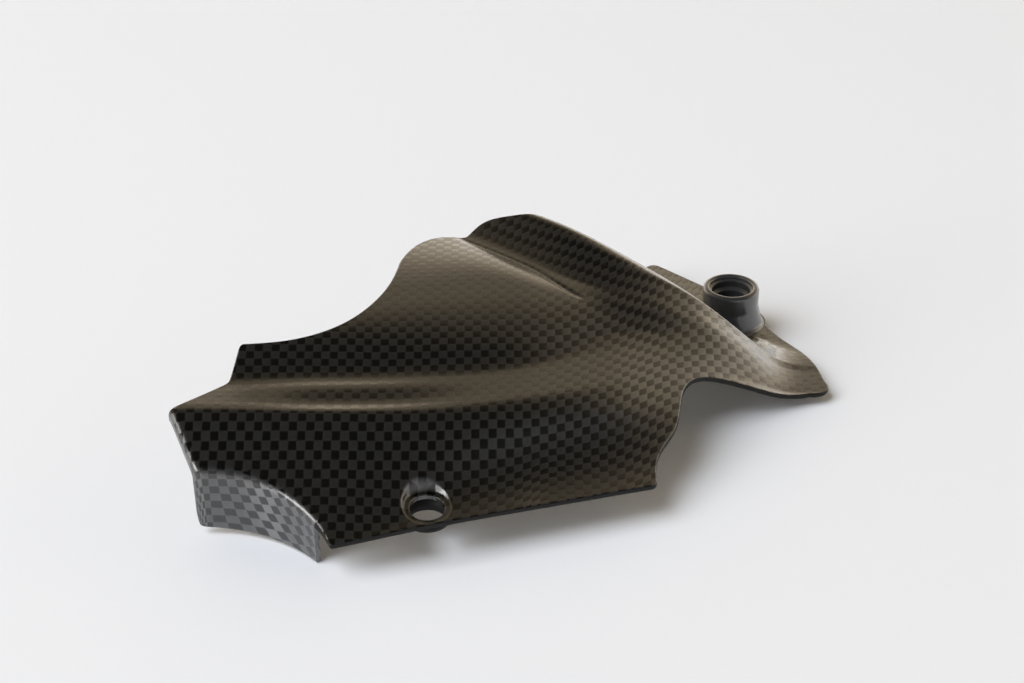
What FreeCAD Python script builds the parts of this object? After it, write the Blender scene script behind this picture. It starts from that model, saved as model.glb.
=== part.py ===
# Sprocket cover of a motorbike: one moulded sheet of carbon-fibre laminate, in millimetres.
# The origin is on the axis of the rear screw boss, at the underside of its seat pad.
# +X runs along the front crease to the flange's rounded tip, +Y to the back and +Z up.
import math
import os

import FreeCAD, Part
from FreeCAD import Vector

# Driving dimensions
wall = 1.3
seat_pad = 2.2
seat_pad_diameter = 14.0
flange_top = seat_pad + wall
screw_bore = 8.0
boss_diameter = 15.0
boss_height = 13.1
boss_foot_radius = 2.0
boss_foot_sink = 0.25
boss_rim_radius = 0.7
counterbore_diameter = 11.4
counterbore_depth = 2.6
counterbore_step = 0.6
rear_flange_margin = 0.5
rear_flange_radius = boss_diameter / 2 + boss_foot_radius + rear_flange_margin
front_hole_x = -77.8
front_hole_y = -100.8
front_seat_height = 11.7
front_pocket_radius = 5.4
front_pocket_draft = 12.0
front_pocket_depth = 8.0
front_sleeve_diameter = 12.0
front_sleeve_length = 3.5
side_lip_depth = 3.2
side_wall_setback = 4.0
side_wall_rise = 2.0
riser_foot_share = 0.30
riser_top_share = 0.66
sheet_margin = 5.0
clear_height = 80.0
least_fold_gap = 0.6
least_length = 0.01
largest_blend_share = 0.45

# Guide lines of the outer skin, from the front edge to the rear flange.
# Each point is x, y, z and the blend length of the fold there.
guides = {
    "toe": [
        (-142.5, -119.0, 8.0, 0.0), (-99.5, -112.2, 9.0, 0.0), (-77.5, -106.8, 11.1, 0.0),
        (-61.5, -101.4, 10.8, 0.0), (-43.0, -95.1, 10.4, 0.0), (-24.5, -88.1, 9.7, 0.0),
        (1.5, -80.0, 6.8, 0.0), (25.5, -74.0, flange_top, 0.0),
    ],
    "flare": [
        (-142.5, -117.0, 8.6, 2.0), (-99.5, -110.4, 9.8, 2.0), (-83.5, -103.0, 11.4, 3.0),
        (-70.9, -94.5, 13.4, 4.0), (-58.5, -90.0, 13.2, 4.0), (-45.0, -84.8, 12.8, 4.0),
        (-26.5, -78.1, 12.6, 5.0), (1.5, -70.1, 8.8, 6.0), (25.5, -66.1, flange_top, 6.0),
    ],
    "panel": [
        (-142.5, -95.6, 15.8, 0.0), (-99.5, -96.0, 16.2, 0.0), (-83.5, -93.2, 17.8, 0.0),
        (-58.5, -82.4, 19.4, 0.0), (-34.5, -72.1, 18.4, 0.0), (-18.5, -63.4, 15.8, 0.0),
        (1.5, -56.1, 9.0, 0.0), (25.5, -51.1, flange_top, 0.0),
    ],
    "crease": [
        (-142.5, -82.3, 26.3, 1.2), (-93.5, -82.3, 26.3, 1.4), (-58.5, -74.7, 25.8, 4.0),
        (-34.5, -63.1, 24.4, 7.0), (-18.5, -51.3, 19.8, 11.0), (1.5, -42.1, 9.3, 12.0),
        (12.5, -39.1, flange_top, 10.0), (25.5, -36.1, flange_top, 10.0),
    ],
    "ledge": [
        (-142.5, -69.7, 27.0, 1.6), (-93.5, -69.3, 27.0, 2.2), (-61.5, -61.6, 26.8, 5.0),
        (-34.5, -50.1, 27.2, 10.0), (-18.5, -42.1, 22.3, 12.0), (1.5, -36.1, 11.3, 12.0),
        (12.5, -35.1, flange_top, 10.0), (25.5, -33.1, flange_top, 10.0),
    ],
    "shoulder": [
        (-142.5, -56.6, 33.6, 4.0), (-98.5, -54.1, 34.0, 5.0), (-80.5, -54.6, 33.3, 8.0),
        (-56.5, -55.7, 30.4, 10.0), (-34.5, -44.1, 28.1, 12.0), (-18.5, -36.1, 24.3, 12.0),
        (1.5, -33.1, 12.3, 12.0), (12.5, -32.1, flange_top, 10.0), (25.5, -30.1, flange_top, 10.0),
    ],
    "dome": [
        (-103.5, -8.0, 35.2, 0.0), (-82.5, -24.1, 35.0, 0.0), (-64.5, -24.1, 34.4, 0.0),
        (-50.5, -34.1, 32.3, 0.0), (-34.5, -40.1, 29.1, 0.0), (-18.5, -34.1, 25.3, 0.0),
        (1.5, -31.1, 12.8, 0.0), (12.5, -30.1, flange_top, 0.0), (25.5, -28.1, flange_top, 0.0),
    ],
    "valley": [
        (-103.5, 17.9, 31.2, 1.0), (-69.9, -9.1, 32.4, 0.8), (-53.9, -21.7, 31.6, 1.5),
        (-39.5, -34.8, 30.0, 6.0), (-18.5, -32.1, 26.0, 12.0), (1.5, -29.1, 13.2, 12.0),
        (12.5, -28.1, flange_top, 10.0), (25.5, -27.1, flange_top, 10.0),
    ],
    "trough": [
        (-103.5, 23.9, 31.0, 2.0), (-65.3, -6.4, 32.0, 3.0), (-51.3, -16.1, 31.3, 4.0),
        (-36.1, -26.7, 30.7, 7.0), (-18.5, -28.1, 27.4, 12.0), (1.5, -26.1, 13.2, 12.0),
        (12.5, -26.1, flange_top, 10.0), (25.5, -25.1, flange_top, 10.0),
    ],
    "crest": [
        (-103.5, 30.0, 39.8, 2.5), (-49.9, -4.3, 39.6, 2.5), (-36.0, -15.1, 38.1, 3.0),
        (-23.5, -21.4, 34.2, 4.0), (-12.5, -23.9, 27.3, 5.0), (-5.0, -24.6, 20.6, 5.0),
        (1.5, -23.1, 13.4, 5.0), (8.5, -22.2, 6.8, 5.0), (14.0, -23.1, 3.8, 6.0),
        (25.5, -23.1, flange_top, 6.0),
    ],
    "foot": [
        (-103.5, 93.0, flange_top, 3.0), (-30.5, 17.9, flange_top, 3.0), (-13.5, 0.4, flange_top, 3.0),
        (-3.5, -8.6, flange_top, 3.0), (1.5, -10.0, flange_top, 3.0), (7.5, -10.7, flange_top, 3.0),
        (12.5, -13.1, flange_top, 3.0), (25.5, -16.1, flange_top, 4.0),
    ],
}

# Height of the low riser along the ledge: x and height
riser = [(-142.5, 0.0), (-121.0, 0.0), (-103.5, 2.2), (-88.5, 1.9), (-66.0, 0.0), (25.5, 0.0)]

# Back edge of the sheet before it is trimmed: x and y
blank_back = [(-142.5, -40.0), (-87.0, 2.0), (-50.0, 12.0), (-17.0, 46.0), (12.0, 22.0), (25.5, 8.0)]

# Places along x of the sections that shape the skin
stations = [-146, -133, -120, -107, -94, -81, -68, -56, -44, -33, -22, -12, -3, 5, 12, 20, 28]

# Corners of the trimmed plan outline
side_top = (-138.1, -81.6)
side_notch = (-125.6, -69.3)
shoulder_corner = (-123.6, -59.2)
dome_corner = (-86.8, -24.0)
ridge_corner = (-70.7, -6.5)
ridge_peak = (-51.0, -3.0)
toe_right = (-24.6, -88.4)
toe_left = (-99.1, -112.0)
side_bottom = (-131.0, -94.7)
tip_back = (21.9, -31.5)
tip_front = (17.4, -37.9)

# Points that the curved stretches pass through
shoulder_curve = [(-109.3, -57.3), (-100.0, -52.9), (-92.1, -43.3), (-88.4, -33.5)]
dome_curve = [(-82.2, -12.4), (-77.2, -7.6)]
ridge_curve = [(-66.9, -2.6), (-59.0, -2.6)]
flange_curve = [(12.0, -7.5), (17.2, -15.9), (20.7, -24.5)]
tip_middle = (21.2, -36.6)
rear_trim = [(3.7, -43.0), (-7.5, -46.9)]
arch_trim = (-13.0, -50.5)
side_trim = [(-16.7, -57.2), (-19.3, -69.6), (-23.9, -79.0)]
toe_curve = [(-42.9, -95.0), (-61.2, -101.2), (-77.5, -106.5), (-88.0, -109.3)]
flange_arc_middle = (-113.5, -98.1)
flange_edge_angle = 44.4
flange_corner_reach = 37.0
flange_turn_angle = -12.0


def monotone_value(points, column, x):
    """Value of one column of a guide at x, by monotone cubic interpolation."""
    x = min(max(x, points[0][0]), points[-1][0])
    steps = [b[0] - a[0] for a, b in zip(points, points[1:])]
    slopes = [(b[column] - a[column]) / h for a, b, h in zip(points, points[1:], steps)]
    tangents = [slopes[0]]
    for before, after in zip(slopes, slopes[1:]):
        if before * after <= 0:
            tangents.append(0.0)
        else:
            tangents.append(2 * before * after / (before + after))
    tangents.append(slopes[-1])
    index = 0
    while index < len(steps) - 1 and x > points[index + 1][0]:
        index += 1
    h = steps[index]
    t = (x - points[index][0]) / h
    level = points[index][column] * (1 + 2 * t) * (1 - t) ** 2
    level += points[index + 1][column] * t * t * (3 - 2 * t)
    return level + h * (tangents[index] * t * (1 - t) ** 2 - tangents[index + 1] * t * t * (1 - t))


def section_folds(x):
    """Folds of the skin's section at x, front to back: lists of y, z and blend length."""
    folds = [[monotone_value(points, column, x) for column in (1, 2, 3)] for points in guides.values()]
    ledge = list(guides).index("ledge")
    crease_y, crease_z, _ = folds[ledge - 1]
    run = folds[ledge][0] - crease_y
    rise = folds[ledge][1] - crease_z
    half = monotone_value(riser, 1, x) / 2
    foot = [crease_y + riser_foot_share * run, crease_z + riser_foot_share * rise - half, 0.0]
    top = [crease_y + riser_top_share * run, crease_z + riser_top_share * rise + half, 0.0]
    folds[ledge:ledge] = [foot, top]
    for before, after in zip(folds, folds[1:]):
        after[0] = max(after[0], before[0] + least_fold_gap)
    return folds


def section_poles(x):
    """Control polygon of the section at x: one pole at a soft fold, one on each side of a crisp one."""
    folds = section_folds(x)
    toe, flare = folds[0], folds[1]
    toe_run = (flare[1] - toe[1]) / (flare[0] - toe[0])
    front = [toe[0] - sheet_margin, toe[1] - toe_run * sheet_margin, 0.0]
    back = [max(monotone_value(blank_back, 1, x), folds[-1][0] + sheet_margin), folds[-1][1], 0.0]
    folds = [front] + folds + [back]
    poles = [Vector(x, front[0], front[1])]
    for before, fold, after in zip(folds, folds[1:], folds[2:]):
        for neighbour in (before, after) if fold[2] else (fold,):
            share = min(fold[2] / abs(neighbour[0] - fold[0]), largest_blend_share) if fold[2] else 0
            y, z = (a + share * (b - a) for a, b in zip(fold[:2], neighbour[:2]))
            poles.append(Vector(x, y, z))
    poles.append(Vector(x, back[0], back[1]))
    return poles


def offset_net(net, distance):
    """The same net moved into the sheet, so that the two skins stay one distance apart."""
    moved = []
    for row_index, row in enumerate(net):
        before = net[max(row_index - 1, 0)]
        after = net[min(row_index + 1, len(net) - 1)]
        new_row = []
        for index, pole in enumerate(row):
            along = after[index] - before[index]
            legs = [b - a for a, b in zip(row[max(index - 1, 0):index + 1], row[index:index + 2])]
            if index == 0:
                legs = [row[1] - row[0]]
            normals = [along.cross(leg).normalize() for leg in legs]
            middle = (normals[0] + normals[-1]).normalize()
            new_row.append(pole - middle * (distance / middle.dot(normals[0])))
        moved.append(new_row)
    return moved


def end_knots(pole_count, degree):
    """Evenly spaced knots that hold the first and last poles, with their multiplicities."""
    spans = pole_count - degree
    knots = [index / spans for index in range(spans + 1)]
    return knots, [degree + 1] + [1] * (spans - 1) + [degree + 1]


def skin_face(net):
    """Face of the cubic surface that a net of poles shapes."""
    cubic = 3
    knots_along, mults_along = end_knots(len(net), cubic)
    knots_across, mults_across = end_knots(len(net[0]), cubic)
    surface = Part.BSplineSurface()
    surface.buildFromPolesMultsKnots(
        net, mults_along, mults_across, knots_along, knots_across, False, False, cubic, cubic
    )
    return surface.toShape()


def moulded_blank(outer_face, inner_face):
    """Closed sheet between the two skins, before it is trimmed."""
    sides = [Part.makeRuledSurface(a, b) for a, b in zip(outer_face.Edges, inner_face.Edges)]
    shell = Part.makeShell([outer_face, inner_face] + sides)
    shell.sewShape()
    return Part.makeSolid(shell)


def flat(point):
    return Vector(point[0], point[1], 0)


def line(start, end):
    return Part.LineSegment(flat(start), flat(end)).toShape()


def arc(start, middle, end):
    return Part.Arc(flat(start), flat(middle), flat(end)).toShape()


def curve(points):
    spline = Part.BSplineCurve()
    spline.interpolate([flat(point) for point in points])
    return spline.toShape()


def around_boss(angle):
    turn = math.radians(angle)
    return rear_flange_radius * math.cos(turn), rear_flange_radius * math.sin(turn)


def trim_outline():
    """Plan outline of the trimmed cover, counted clockwise from the upper end of the side edge."""
    flange_start = around_boss(flange_edge_angle)
    edge_turn = math.radians(flange_edge_angle)
    flange_corner = (
        flange_start[0] - flange_corner_reach * math.sin(edge_turn),
        flange_start[1] + flange_corner_reach * math.cos(edge_turn),
    )
    flange_end = around_boss(flange_turn_angle)
    return [
        line(side_top, side_notch),
        line(side_notch, shoulder_corner),
        curve([shoulder_corner] + shoulder_curve + [dome_corner]),
        curve([dome_corner] + dome_curve + [ridge_corner]),
        curve([ridge_corner] + ridge_curve + [ridge_peak]),
        line(ridge_peak, flange_corner),
        line(flange_corner, flange_start),
        arc(flange_start, around_boss((flange_edge_angle + flange_turn_angle) / 2), flange_end),
        curve([flange_end] + flange_curve + [tip_back]),
        arc(tip_back, tip_middle, tip_front),
        curve([tip_front] + rear_trim + [arch_trim] + side_trim + [toe_right]),
        curve([toe_right] + toe_curve + [toe_left]),
        arc(toe_left, flange_arc_middle, side_bottom),
        line(side_bottom, side_top),
    ]


def upright(edges, bottom=0.0):
    """Tall prism that stands on a closed plan outline."""
    prism = Part.Face(Part.Wire(edges)).extrude(Vector(0, 0, clear_height))
    prism.translate(Vector(0, 0, bottom))
    return prism


def side_wall_band():
    """Plan of the wall that turns down along the round cut-out, one wall thick, set back from the toe."""
    cut_out = arc(toe_left, flange_arc_middle, side_bottom).Curve
    centre, radius = cut_out.Center, cut_out.Radius
    toe_reach = flat(toe_left) - centre
    turn = math.degrees(side_wall_setback / radius)
    if toe_reach.cross(flat(side_bottom) - centre).z < 0:
        turn = -turn
    wall_end = FreeCAD.Rotation(Vector(0, 0, 1), turn).multVec(toe_reach) + centre
    outer = [wall_end, flat(flange_arc_middle), flat(side_bottom)]
    inner = [centre + (point - centre).normalize() * (radius + wall) for point in outer]
    return [
        Part.Arc(*outer).toShape(),
        Part.LineSegment(outer[2], inner[2]).toShape(),
        Part.Arc(*reversed(inner)).toShape(),
        Part.LineSegment(inner[0], outer[0]).toShape(),
    ]


def under_side_wall():
    """Wedge that makes the wall's bottom edge rise towards the side edge."""
    low, high = toe_left[0], side_bottom[0]
    slope = Part.makePolygon([
        Vector(low, 0, 0),
        Vector(high, 0, side_wall_rise),
        Vector(high - sheet_margin, 0, side_wall_rise),
        Vector(high - sheet_margin, 0, 0),
        Vector(low, 0, 0),
    ])
    return Part.Face(slope).extrude(Vector(0, 2 * toe_left[1], 0))


def side_lip_band():
    """Plan of the short lip along the straight side edge."""
    start, end = flat(side_bottom), flat(side_top)
    run = (end - start).normalize()
    inward = Vector(run.y, -run.x, 0) * wall
    return Part.makePolygon([start, end, end + inward, start + inward, start]).Edges


def revolved(corners):
    """Solid of revolution about Z from corners given as radius and height."""
    outline = Part.makePolygon([Vector(radius, 0, height) for radius, height in corners + corners[:1]])
    return Part.Face(outline).revolve(Vector(0, 0, 0), Vector(0, 0, 1), 360)


def rear_boss():
    """Screw boss of the rear flange: stepped seat, rounded rim and a foot that runs into the flange."""
    outer = boss_diameter / 2
    seat = counterbore_diameter / 2
    seat_height = boss_height - counterbore_depth
    foot_top = flange_top - boss_foot_sink + boss_foot_radius
    mid_flange = flange_top - wall / 2
    body = revolved([
        (screw_bore / 2, 0),
        (seat_pad_diameter / 2, 0),
        (seat_pad_diameter / 2, mid_flange),
        (outer + boss_foot_radius, mid_flange),
        (outer + boss_foot_radius, foot_top),
        (outer, foot_top),
        (outer, boss_height),
        (seat, boss_height),
        (seat, boss_height - counterbore_depth / 2),
        (seat - counterbore_step, boss_height - counterbore_depth / 2),
        (seat - counterbore_step, seat_height),
        (screw_bore / 2, seat_height),
    ])
    hollow = Part.makeTorus(outer + boss_foot_radius, boss_foot_radius)
    hollow.translate(Vector(0, 0, foot_top))
    body = body.cut(hollow)
    rim = [edge for edge in body.Edges if edge.BoundBox.ZMin > boss_height - least_length]
    opening = Part.makeCylinder((outer + screw_bore / 2) / 2, boss_height)
    return body.makeFillet(boss_rim_radius, rim), opening


def front_seat():
    """Seat of the front screw: a sleeve under the skin and the sloping wall of the pocket above it."""
    spread = math.tan(math.radians(front_pocket_draft)) * front_pocket_depth
    sleeve_bottom = front_seat_height - front_sleeve_length
    top = front_seat_height + front_pocket_depth
    seat = revolved([
        (screw_bore / 2, sleeve_bottom),
        (front_sleeve_diameter / 2, sleeve_bottom),
        (front_sleeve_diameter / 2, front_seat_height - wall),
        (front_pocket_radius + wall, front_seat_height - wall),
        (front_pocket_radius + wall + spread, top),
        (front_pocket_radius + spread, top),
        (front_pocket_radius, front_seat_height),
        (screw_bore / 2, front_seat_height),
    ])
    middle = front_pocket_radius + wall / 2
    opening = revolved([(0, sleeve_bottom), (middle, sleeve_bottom), (middle + spread, top), (0, top)])
    place = Vector(front_hole_x, front_hole_y, 0)
    seat.translate(place)
    opening.translate(place)
    return seat, opening


def make_cover():
    net = [section_poles(x) for x in stations]
    outer_face = skin_face(net)
    inner_face = skin_face(offset_net(net, wall))
    boss, boss_opening = rear_boss()
    seat, seat_opening = front_seat()
    sheet = moulded_blank(outer_face, inner_face).common(upright(trim_outline(), -clear_height / 2))
    sheet = sheet.cut([boss_opening, seat_opening])

    over_skin = outer_face.extrude(Vector(0, 0, clear_height))
    side_wall = upright(side_wall_band()).cut([over_skin, under_side_wall()])
    under_skin = outer_face.extrude(Vector(0, 0, -side_lip_depth))
    side_lip = upright(side_lip_band()).common(under_skin)
    seat = seat.cut(over_skin)
    return sheet.fuse([side_wall, side_lip, seat, boss]).removeSplitter()


def main():
    cover = make_cover()
    assert cover.isValid() and len(cover.Solids) == 1, "the cover has to be one valid solid"
    os.makedirs("parts", exist_ok=True)
    cover.Solids[0].exportStep("parts/cover.step")
    box = cover.optimalBoundingBox()
    print(f"cover: {cover.Volume:.0f} mm3, {box.XLength:.1f} x {box.YLength:.1f} x {box.ZLength:.1f} mm")


main()
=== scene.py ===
import math

import bmesh
import bpy
import numpy as np
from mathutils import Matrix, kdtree
from mathutils.geometry import delaunay_2d_cdt


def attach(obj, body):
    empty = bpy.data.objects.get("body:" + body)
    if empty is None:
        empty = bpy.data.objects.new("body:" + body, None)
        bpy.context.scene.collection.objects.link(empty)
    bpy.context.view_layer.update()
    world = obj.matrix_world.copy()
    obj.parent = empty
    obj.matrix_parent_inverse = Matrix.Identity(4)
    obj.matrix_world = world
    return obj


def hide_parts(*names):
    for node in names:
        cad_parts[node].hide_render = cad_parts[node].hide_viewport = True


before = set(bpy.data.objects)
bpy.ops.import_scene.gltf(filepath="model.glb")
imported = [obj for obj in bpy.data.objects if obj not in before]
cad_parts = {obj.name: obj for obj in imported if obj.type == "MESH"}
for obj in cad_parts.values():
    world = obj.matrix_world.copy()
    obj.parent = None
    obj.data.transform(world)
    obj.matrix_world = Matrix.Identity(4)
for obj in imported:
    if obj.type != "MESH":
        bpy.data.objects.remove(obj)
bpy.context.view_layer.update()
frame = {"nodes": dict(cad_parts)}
mm = 0.001
print("frame loaded:", ", ".join(frame["nodes"]))


def linearColour(hexText):
    parts = [int(hexText[i:i + 2], 16) / 255 for i in (1, 3, 5)]
    return [c / 12.92 if c <= 0.04045 else ((c + 0.055) / 1.055) ** 2.4 for c in parts] + [1.0]


def addNode(tree, kind, links=None, **settings):
    # links maps an input's name or number to a socket of another node, or to a plain value
    node = tree.nodes.new(kind)
    for name, value in settings.items():
        setattr(node, name, value)
    for key, value in (links or {}).items():
        if isinstance(value, bpy.types.NodeSocket):
            tree.links.new(value, node.inputs[key])
        else:
            node.inputs[key].default_value = value
    return node


# The skin is drawn the way the mould was: fold lines from the front edge to the rear flange.
# Each point is x, y, z and the length of the blend at the fold, in mm.
shell = {
    "wall": 1.3,
    "edgeRound": 0.4,
    "bendReach": 1.55,
    "lipDepth": 3.2,
    "wallRise": 2.0,
    "wallSetback": 7.0,
    "cornerRound": 1.6,
    "wallCorner": 2.4,
    "cellAlong": 0.85,
    "cellsAcross": 8,
    "cellGap": 0.55,
    "sheetMargin": 5.0,
    "riserFoot": 0.30,
    "riserTop": 0.66,
    "leastFoldGap": 0.6,
    "largestBlend": 0.45,
    "stations": [-146, -133, -120, -107, -94, -81, -68, -56, -44, -33, -22, -12, -3, 5, 12, 20, 28],
    "riser": [(-142.5, 0.0), (-123.0, 0.0), (-106.0, 2.1), (-84.0, 2.0), (-71.0, 1.0), (-60.0, 0.0),
              (25.5, 0.0)],
    "backEdge": [(-142.5, -40.0), (-87.0, 2.0), (-50.0, 12.0), (-17.0, 46.0), (12.0, 22.0), (25.5, 8.0)],
}

folds = {
    "toe": [
        (-142.5, -119.0, 8.0, 0.0), (-99.5, -112.2, 9.0, 0.0), (-77.5, -106.8, 11.1, 0.0),
        (-61.5, -101.4, 10.8, 0.0), (-43.0, -95.1, 10.4, 0.0), (-24.5, -88.1, 9.7, 0.0),
        (1.5, -80.0, 6.8, 0.0), (25.5, -74.0, 3.5, 0.0),
    ],
    "flare": [
        (-142.5, -117.0, 8.6, 2.0), (-99.5, -110.4, 9.8, 2.0), (-83.5, -103.0, 11.4, 3.0),
        (-70.9, -93.6, 12.8, 3.5), (-58.5, -88.7, 12.3, 3.5), (-45.0, -83.4, 11.9, 3.5),
        (-26.5, -76.8, 11.7, 4.5), (1.5, -70.1, 8.8, 6.0), (25.5, -66.1, 3.5, 6.0),
    ],
    "panel": [
        (-142.5, -95.6, 15.8, 0.0), (-99.5, -96.0, 16.2, 0.0), (-83.5, -93.2, 17.8, 0.0),
        (-58.5, -82.4, 19.4, 0.0), (-34.5, -72.1, 18.4, 0.0), (-18.5, -63.4, 15.8, 0.0),
        (1.5, -56.1, 9.0, 0.0), (25.5, -51.1, 3.5, 0.0),
    ],
    "crease": [
        (-142.5, -82.3, 26.3, 1.2), (-93.5, -82.3, 26.3, 1.4), (-58.5, -77.7, 24.4, 2.4),
        (-34.5, -67.6, 21.9, 3.5), (-18.5, -54.3, 17.8, 8.0), (1.5, -42.1, 9.3, 12.0),
        (12.5, -39.1, 3.5, 10.0), (25.5, -36.1, 3.5, 10.0),
    ],
    "ledge": [
        (-142.5, -67.8, 25.7, 1.6), (-93.5, -67.6, 25.8, 2.0), (-61.5, -59.4, 25.1, 4.0),
        (-34.5, -45.4, 23.7, 8.0), (-18.5, -41.0, 21.0, 11.0), (1.5, -36.1, 11.3, 12.0),
        (12.5, -35.1, 3.5, 10.0), (25.5, -33.1, 3.5, 10.0),
    ],
    "shoulder": [
        (-142.5, -56.6, 33.6, 4.0), (-98.5, -54.1, 34.0, 5.0), (-80.5, -54.6, 33.3, 8.0),
        (-56.5, -55.0, 29.5, 9.0), (-34.5, -40.9, 25.5, 12.0), (-18.5, -35.9, 23.7, 12.0),
        (1.5, -33.1, 12.3, 12.0), (12.5, -32.1, 3.5, 10.0), (25.5, -30.1, 3.5, 10.0),
    ],
    "dome": [
        (-103.5, -8.0, 35.2, 0.0), (-82.5, -24.1, 35.0, 0.0), (-64.5, -24.1, 34.4, 0.0),
        (-50.5, -34.1, 32.3, 0.0), (-34.5, -37.2, 27.0, 0.0), (-18.5, -34.0, 25.0, 0.0),
        (1.5, -31.1, 12.8, 0.0), (12.5, -30.1, 3.5, 0.0), (25.5, -28.1, 3.5, 0.0),
    ],
    "valley": [
        (-103.5, 17.9, 31.2, 1.0), (-69.9, -9.1, 32.4, 0.8), (-53.9, -21.7, 31.6, 1.5),
        (-39.5, -34.2, 29.6, 6.0), (-18.5, -32.1, 26.0, 12.0), (1.5, -29.1, 13.2, 12.0),
        (12.5, -28.1, 3.5, 10.0), (25.5, -27.1, 3.5, 10.0),
    ],
    "trough": [
        (-103.5, 23.9, 31.0, 2.0), (-65.3, -6.4, 32.0, 3.0), (-51.3, -16.1, 31.3, 4.0),
        (-36.1, -26.7, 30.7, 7.0), (-18.5, -28.1, 27.4, 12.0), (1.5, -26.1, 13.2, 12.0),
        (12.5, -26.1, 3.5, 10.0), (25.5, -25.1, 3.5, 10.0),
    ],
    "crest": [
        (-103.5, 30.0, 39.8, 2.5), (-49.9, -4.3, 39.6, 2.5), (-36.0, -13.0, 36.7, 3.0),
        (-23.5, -19.5, 32.9, 4.0), (-12.5, -22.6, 26.4, 4.5), (-5.0, -24.6, 20.6, 5.0),
        (1.5, -23.1, 13.4, 5.0), (8.5, -22.2, 6.8, 5.0), (14.0, -23.1, 3.8, 6.0),
        (25.5, -23.1, 3.5, 6.0),
    ],
    "foot": [
        (-103.5, 93.0, 3.5, 3.0), (-30.5, 17.9, 3.5, 3.0), (-13.5, 0.4, 3.5, 1.4),
        (-3.5, -8.6, 3.5, 1.0), (1.5, -10.0, 3.5, 1.0), (7.5, -10.7, 3.5, 1.0),
        (12.5, -13.1, 3.5, 1.8), (25.5, -16.1, 3.5, 4.0),
    ],
}

# Plan outline, clockwise from the top of the side edge: stretches between corners, in mm.
# A stretch is the points it passes through, with how it runs and how far its end corner is rounded.
outline = [
    ("line", [(-138.1, -81.6), (-125.6, -69.3)], 1.0),
    ("line", [(-125.6, -69.3), (-123.6, -59.2)], 0.9),
    ("curve", [(-123.6, -59.2), (-109.3, -57.3), (-100.0, -52.9), (-92.1, -43.3), (-88.4, -33.5),
               (-86.8, -24.0)], 1.0),
    ("curve", [(-86.8, -24.0), (-82.2, -12.4), (-77.2, -7.6), (-70.7, -6.5)], 0.8),
    ("curve", [(-70.7, -6.5), (-66.9, -2.6), (-59.0, -2.6), (-51.0, -3.0)], 2.0),
    ("line", [(-51.0, -3.0), (-18.74, 33.43)], 3.0),
    ("line", [(-18.74, 33.43), (7.145, 6.997)], 0.0),
    ("arc", [(7.145, 6.997), (9.602, 2.79), (9.781, -2.079)], 0.0),
    ("curve", [(9.781, -2.079), (12.0, -7.5), (17.2, -15.9), (20.7, -24.5), (21.9, -31.5)], 0.0),
    ("arc", [(21.9, -31.5), (21.2, -36.6), (17.4, -37.9)], 0.0),
    ("curve", [(17.4, -37.9), (3.7, -43.0), (-7.5, -46.9), (-13.0, -50.5), (-16.7, -57.2), (-19.3, -69.6),
               (-23.9, -79.0), (-24.6, -88.4)], 1.2),
    ("curve", [(-24.6, -88.4), (-42.9, -95.0), (-61.2, -101.2), (-77.5, -106.5), (-88.0, -109.3),
               (-99.1, -112.0)], 0.5),
]
sideArc = [(-99.1, -112.0), (-113.5, -98.1), (-131.0, -94.7)]
sideEdge = [(-131.0, -94.7), (-138.1, -81.6)]

# Screw seat in the front edge: a pocket with a flat floor and a sloping wall
pocket = {"centre": (-77.8, -100.8), "seat": 12.6, "radius": 5.4, "draft": 12.0, "bore": 4.0,
          "boreRound": 0.3, "rimBlend": 2.6, "floorBlend": 1.2, "reach": 10.5, "segments": 112,
          "ringStep": 0.26, "fineReach": 8.2, "coarser": 1.8, "edgeGap": 0.2, "gridGap": 0.25}
rearHole = {"radius": 5.6, "keepOut": 6.0, "segments": 72}  # hidden under the boss


def monotone(points, column, x):
    # Smooth run through a guide's points that never overshoots them
    xs = np.array([p[0] for p in points])
    ys = np.array([p[column] for p in points])
    steps = np.diff(xs)
    slopes = np.diff(ys) / steps
    product, total = slopes[:-1] * slopes[1:], slopes[:-1] + slopes[1:]
    inner = np.where(product > 0, 2 * product / np.where(total == 0, 1, total), 0)
    tangents = np.concatenate((slopes[:1], inner, slopes[-1:]))
    x = min(max(x, xs[0]), xs[-1])
    i = min(max(np.searchsorted(xs, x) - 1, 0), len(steps) - 1)
    h = steps[i]
    t = (x - xs[i]) / h
    value = ys[i] * (1 + 2 * t) * (1 - t) ** 2 + ys[i + 1] * t * t * (3 - 2 * t)
    return value + h * (tangents[i] * t * (1 - t) ** 2 - tangents[i + 1] * t * t * (1 - t))


def sectionPoles(x):
    # Control points of the section at x: one at a soft fold, one on each side of a crisp one
    line = [[monotone(points, column, x) for column in (1, 2, 3)] for points in folds.values()]
    ledge = list(folds).index("ledge")
    crease = line[ledge - 1]
    run, rise = line[ledge][0] - crease[0], line[ledge][1] - crease[1]
    half = monotone(shell["riser"], 1, x) / 2
    foot = [crease[0] + shell["riserFoot"] * run, crease[1] + shell["riserFoot"] * rise - half, 0.0]
    top = [crease[0] + shell["riserTop"] * run, crease[1] + shell["riserTop"] * rise + half, 0.0]
    line[ledge:ledge] = [foot, top]
    for before, after in zip(line, line[1:]):
        after[0] = max(after[0], before[0] + shell["leastFoldGap"])
    margin = shell["sheetMargin"]
    slope = (line[1][1] - line[0][1]) / (line[1][0] - line[0][0])
    front = [line[0][0] - margin, line[0][1] - slope * margin, 0.0]
    back = [max(monotone(shell["backEdge"], 1, x), line[-1][0] + margin), line[-1][1], 0.0]
    line = [front] + line + [back]
    poles = [front[:2]]
    for before, fold, after in zip(line, line[1:], line[2:]):
        for other in (before, after) if fold[2] else (fold,):
            share = min(fold[2] / abs(other[0] - fold[0]), shell["largestBlend"]) if fold[2] else 0
            poles.append([a + share * (b - a) for a, b in zip(fold[:2], other[:2])])
    poles.append(back[:2])
    return poles


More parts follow.
